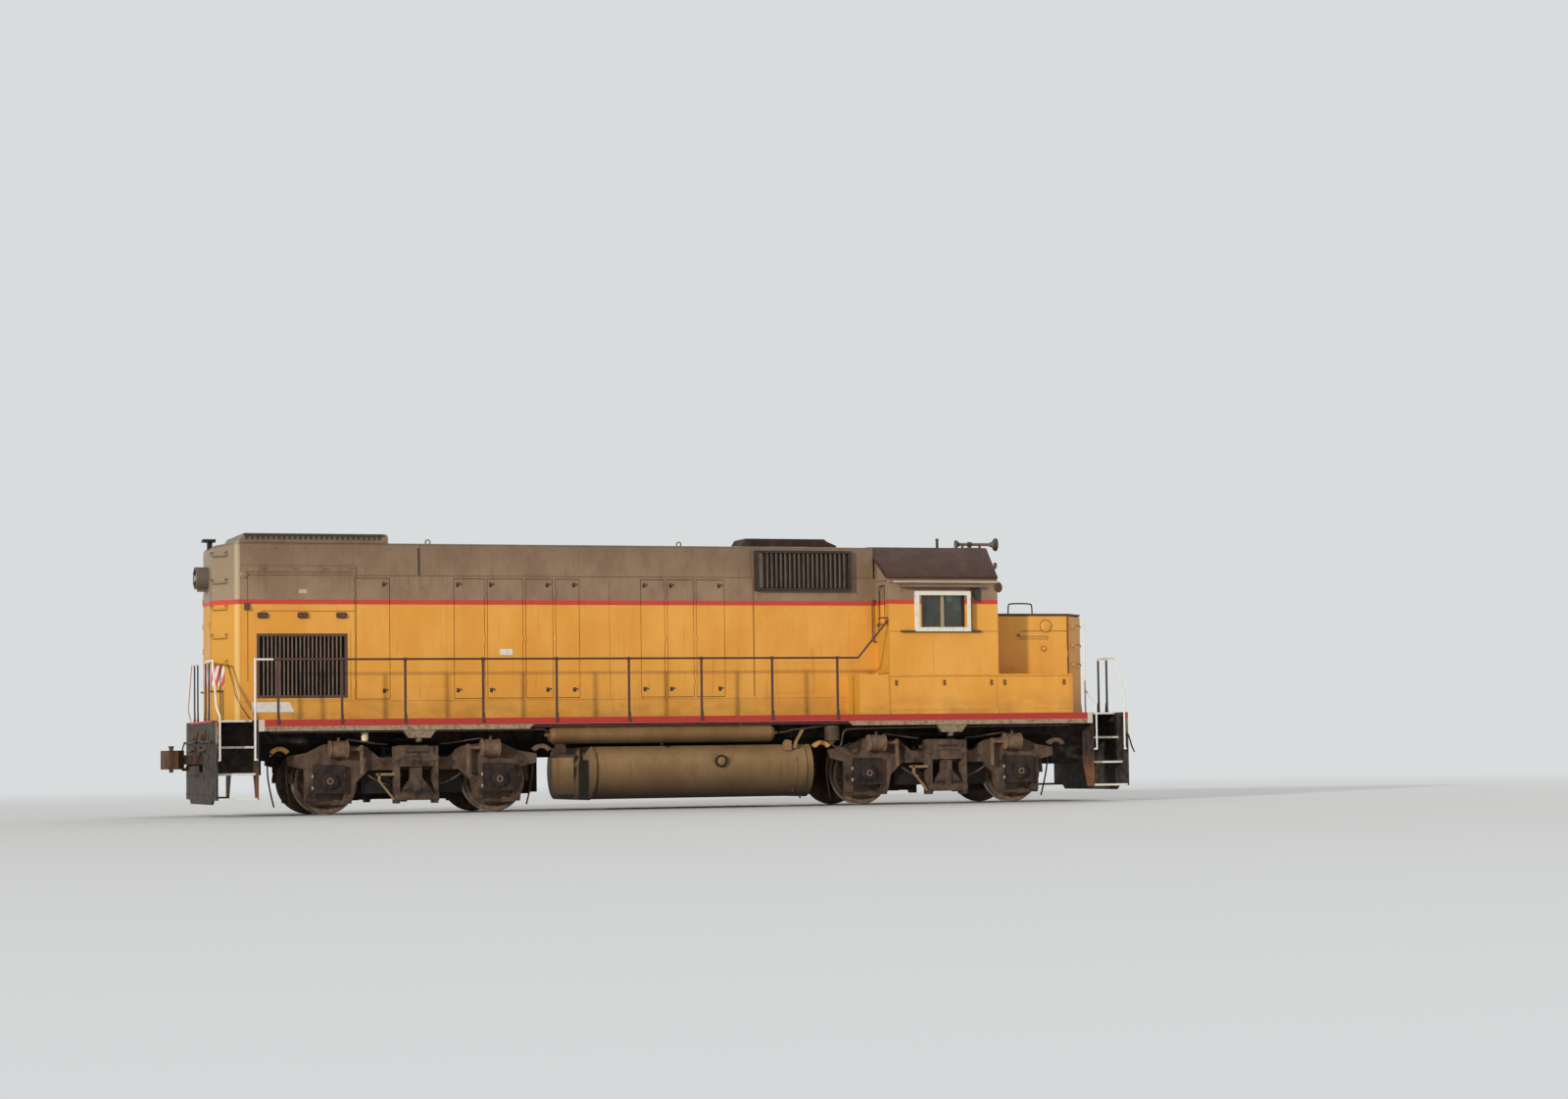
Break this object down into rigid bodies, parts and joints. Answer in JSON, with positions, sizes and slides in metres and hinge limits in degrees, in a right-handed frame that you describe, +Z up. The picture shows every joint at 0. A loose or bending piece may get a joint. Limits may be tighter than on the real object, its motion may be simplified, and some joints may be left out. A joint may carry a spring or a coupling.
{
  "type": "diesel locomotive",
  "caption": "Four-axle diesel road-switcher with a long hood, cab and low short hood on a walkway underframe; swivelling trucks, turning wheelsets, hinged hood and cab doors.",
  "frame": {"origin": "on the floor under the middle of the locomotive, at the height of the wheel flange tips", "axes": "+X forward towards the short hood, +Y to the left, +Z up"},
  "size_m": [16.74, 3.28, 4.554],
  "materials": {
    "underframe_black": "dirty matt black",
    "step_paint": "brown dirt over black paint, white edges",
    "tank_paint": "tan road dirt over paint",
    "body_paint": "weathered semi-gloss enamel",
    "roof_paint": "dirty grey enamel",
    "cab_roof_paint": "sooty brown-grey paint",
    "cab_interior": "satin interior paint",
    "seat_vinyl": "worn vinyl",
    "window_glass": "clear",
    "grille_steel": "dark dirty paint",
    "engine_paint": "grey engine paint",
    "handrail_paint": "dark red-brown paint",
    "white_paint": "white paint",
    "lamp_black": "black paint",
    "truck_steel": "rust and road dirt",
    "wheel_steel": "forged steel, polished at the tread"
  },
  "bodies": {
    "body": {"air_reservoirs": "tank_paint", "cab_floor": "cab_interior", "cab_front_wall": "body_paint", "cab_glass": "window_glass", "cab_rear_wall": "body_paint", "cab_roof": "cab_roof_paint", "cab_seats": "seat_vinyl", "cab_side_walls": "body_paint", "control_stand": "cab_interior", "corner_steps": "step_paint", "couplers": "underframe_black", "end_handrails": "white_paint", "engine": "engine_paint", "fuel_tank": "tank_paint", "hood_end": "body_paint", "hood_roof": "roof_paint", "hood_sides": "body_paint", "horn": "lamp_black", "intake_grilles": "grille_steel", "lamps": "lamp_black", "radiator_grilles": "grille_steel", "radiator_housing": "roof_paint", "roof_hump": "cab_roof_paint", "short_hood": "body_paint", "side_boxes": "body_paint", "side_handrails": "handrail_paint", "underfloor_boxes": "underframe_black", "underframe": "underframe_black"},
    "rear_truck": {"rear_truck_frame": "truck_steel", "rear_truck_bolster": "truck_steel", "rear_journal_boxes": "truck_steel", "rear_brake_gear": "truck_steel", "rear_traction_motors": "truck_steel"},
    "rear_truck_rear_axle": {"rear_truck_rear_wheelset": "wheel_steel"},
    "rear_truck_front_axle": {"rear_truck_front_wheelset": "wheel_steel"},
    "front_truck": {"front_truck_frame": "truck_steel", "front_truck_bolster": "truck_steel", "front_journal_boxes": "truck_steel", "front_brake_gear": "truck_steel", "front_traction_motors": "truck_steel"},
    "front_truck_rear_axle": {"front_truck_rear_wheelset": "wheel_steel"},
    "front_truck_front_axle": {"front_truck_front_wheelset": "wheel_steel"},
    "hood_door_right_a": {"hood_door_right_a": "body_paint"},
    "hood_door_right_b": {"hood_door_right_b": "body_paint"},
    "hood_door_right_c": {"hood_door_right_c": "body_paint"},
    "hood_door_right_d": {"hood_door_right_d": "body_paint"},
    "hood_door_right_e": {"hood_door_right_e": "body_paint"},
    "hood_door_right_f": {"hood_door_right_f": "body_paint"},
    "hood_door_right_g": {"hood_door_right_g": "body_paint"},
    "hood_door_right_h": {"hood_door_right_h": "body_paint"},
    "hood_door_left_a": {"hood_door_left_a": "body_paint"},
    "hood_door_left_b": {"hood_door_left_b": "body_paint"},
    "hood_door_left_c": {"hood_door_left_c": "body_paint"},
    "hood_door_left_d": {"hood_door_left_d": "body_paint"},
    "hood_door_left_e": {"hood_door_left_e": "body_paint"},
    "hood_door_left_f": {"hood_door_left_f": "body_paint"},
    "hood_door_left_g": {"hood_door_left_g": "body_paint"},
    "hood_door_left_h": {"hood_door_left_h": "body_paint"},
    "cab_rear_door": {"cab_rear_door": "body_paint"},
    "cab_front_door": {"cab_front_door": "body_paint"}
  },
  "joints": [
    {"name": "rear_truck_swivel", "type": "hinge", "parent": "body", "child": "rear_truck", "pos_m": [-4.534, 0, 1.089], "axis": [0, 0, 1], "range_deg": [-6, 6]},
    {"name": "rear_truck_rear_axle_spin", "type": "hinge", "parent": "rear_truck", "child": "rear_truck_rear_axle", "pos_m": [-5.9055, 0, 0.535], "axis": [0, 1, 0], "continuous": true},
    {"name": "rear_truck_front_axle_spin", "type": "hinge", "parent": "rear_truck", "child": "rear_truck_front_axle", "pos_m": [-3.1625, 0, 0.535], "axis": [0, 1, 0], "continuous": true},
    {"name": "front_truck_swivel", "type": "hinge", "parent": "body", "child": "front_truck", "pos_m": [4.534, 0, 1.089], "axis": [0, 0, 1], "range_deg": [-6, 6]},
    {"name": "front_truck_rear_axle_spin", "type": "hinge", "parent": "front_truck", "child": "front_truck_rear_axle", "pos_m": [3.1625, 0, 0.535], "axis": [0, 1, 0], "continuous": true},
    {"name": "front_truck_front_axle_spin", "type": "hinge", "parent": "front_truck", "child": "front_truck_front_axle", "pos_m": [5.9055, 0, 0.535], "axis": [0, 1, 0], "continuous": true},
    {"name": "hood_door_right_a_hinge", "type": "hinge", "parent": "body", "child": "hood_door_right_a", "pos_m": [-5.444, -0.908, 2.795], "axis": [0, 0, -1], "range_deg": [0, 90]},
    {"name": "hood_door_right_b_hinge", "type": "hinge", "parent": "body", "child": "hood_door_right_b", "pos_m": [-3.316, -0.908, 2.795], "axis": [0, 0, 1], "range_deg": [0, 90]},
    {"name": "hood_door_right_c_hinge", "type": "hinge", "parent": "body", "child": "hood_door_right_c", "pos_m": [-2.681, -0.908, 2.795], "axis": [0, 0, 1], "range_deg": [0, 90]},
    {"name": "hood_door_right_d_hinge", "type": "hinge", "parent": "body", "child": "hood_door_right_d", "pos_m": [-2.641, -0.908, 2.795], "axis": [0, 0, -1], "range_deg": [0, 90]},
    {"name": "hood_door_right_e_hinge", "type": "hinge", "parent": "body", "child": "hood_door_right_e", "pos_m": [-2.137, -0.908, 2.795], "axis": [0, 0, -1], "range_deg": [0, 90]},
    {"name": "hood_door_right_f_hinge", "type": "hinge", "parent": "body", "child": "hood_door_right_f", "pos_m": [-0.277, -0.908, 2.795], "axis": [0, 0, 1], "range_deg": [0, 90]},
    {"name": "hood_door_right_g_hinge", "type": "hinge", "parent": "body", "child": "hood_door_right_g", "pos_m": [0.221, -0.908, 2.795], "axis": [0, 0, 1], "range_deg": [0, 90]},
    {"name": "hood_door_right_h_hinge", "type": "hinge", "parent": "body", "child": "hood_door_right_h", "pos_m": [0.261, -0.908, 2.795], "axis": [0, 0, -1], "range_deg": [0, 90]},
    {"name": "hood_door_left_a_hinge", "type": "hinge", "parent": "body", "child": "hood_door_left_a", "pos_m": [-5.444, 0.908, 2.795], "axis": [0, 0, 1], "range_deg": [0, 90]},
    {"name": "hood_door_left_b_hinge", "type": "hinge", "parent": "body", "child": "hood_door_left_b", "pos_m": [-3.316, 0.908, 2.795], "axis": [0, 0, -1], "range_deg": [0, 90]},
    {"name": "hood_door_left_c_hinge", "type": "hinge", "parent": "body", "child": "hood_door_left_c", "pos_m": [-2.681, 0.908, 2.795], "axis": [0, 0, -1], "range_deg": [0, 90]},
    {"name": "hood_door_left_d_hinge", "type": "hinge", "parent": "body", "child": "hood_door_left_d", "pos_m": [-2.641, 0.908, 2.795], "axis": [0, 0, 1], "range_deg": [0, 90]},
    {"name": "hood_door_left_e_hinge", "type": "hinge", "parent": "body", "child": "hood_door_left_e", "pos_m": [-2.137, 0.908, 2.795], "axis": [0, 0, 1], "range_deg": [0, 90]},
    {"name": "hood_door_left_f_hinge", "type": "hinge", "parent": "body", "child": "hood_door_left_f", "pos_m": [-0.277, 0.908, 2.795], "axis": [0, 0, -1], "range_deg": [0, 90]},
    {"name": "hood_door_left_g_hinge", "type": "hinge", "parent": "body", "child": "hood_door_left_g", "pos_m": [0.221, 0.908, 2.795], "axis": [0, 0, -1], "range_deg": [0, 90]},
    {"name": "hood_door_left_h_hinge", "type": "hinge", "parent": "body", "child": "hood_door_left_h", "pos_m": [0.261, 0.908, 2.795], "axis": [0, 0, 1], "range_deg": [0, 90]},
    {"name": "cab_rear_door_hinge", "type": "hinge", "parent": "body", "child": "cab_rear_door", "pos_m": [3.422, -1.45, 2.957], "axis": [0, 0, 1], "range_deg": [0, 90]},
    {"name": "cab_front_door_hinge", "type": "hinge", "parent": "body", "child": "cab_front_door", "pos_m": [5.398, 1.45, 2.957], "axis": [0, 0, 1], "range_deg": [0, 90]}
  ]
}
